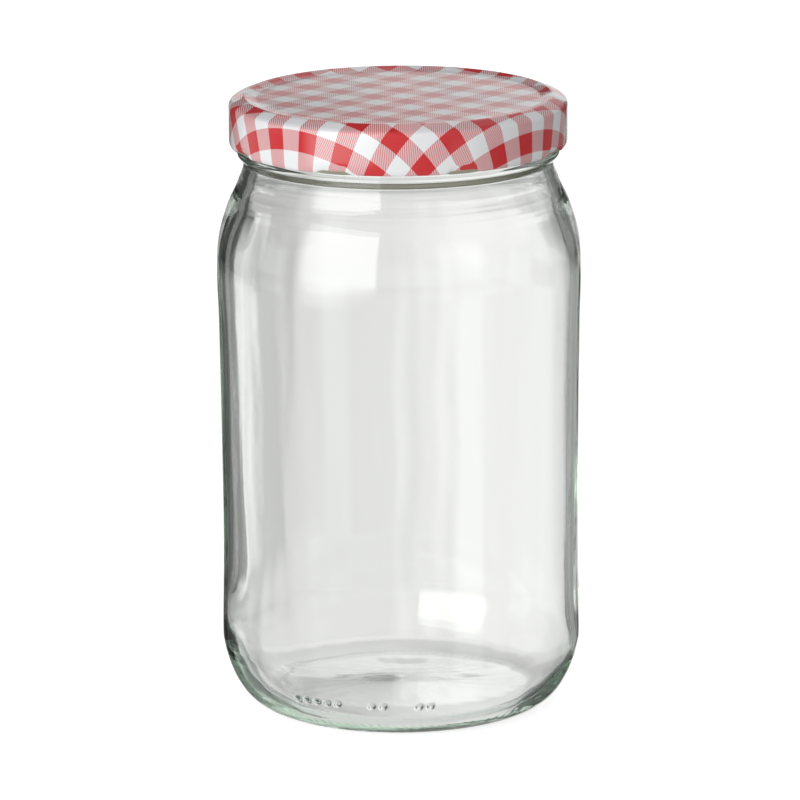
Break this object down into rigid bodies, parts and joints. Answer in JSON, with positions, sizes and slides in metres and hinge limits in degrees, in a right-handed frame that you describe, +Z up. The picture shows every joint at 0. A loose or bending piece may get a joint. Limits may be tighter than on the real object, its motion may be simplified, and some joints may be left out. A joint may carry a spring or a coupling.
{
  "type": "preserving jar",
  "caption": "Empty clear glass preserving jar with a rounded shoulder and heel, closed by a checked lug cap screwed on its wide mouth.",
  "frame": {"origin": "centre of the base, on the surface that the jar stands on", "axes": "+Z up along the jar's axis, front towards -Y, +X to the right as seen from the front"},
  "size_m": [0.1108, 0.1108, 0.1891],
  "materials": {
    "glass": "clear soda-lime glass, smooth, faintly green where it is thick",
    "printed_tinplate": "glossy lacquered tinplate printed with a red and white gingham check"
  },
  "bodies": {
    "root": {"jar": "glass", "lid": "printed_tinplate"}
  },
  "joints": []
}
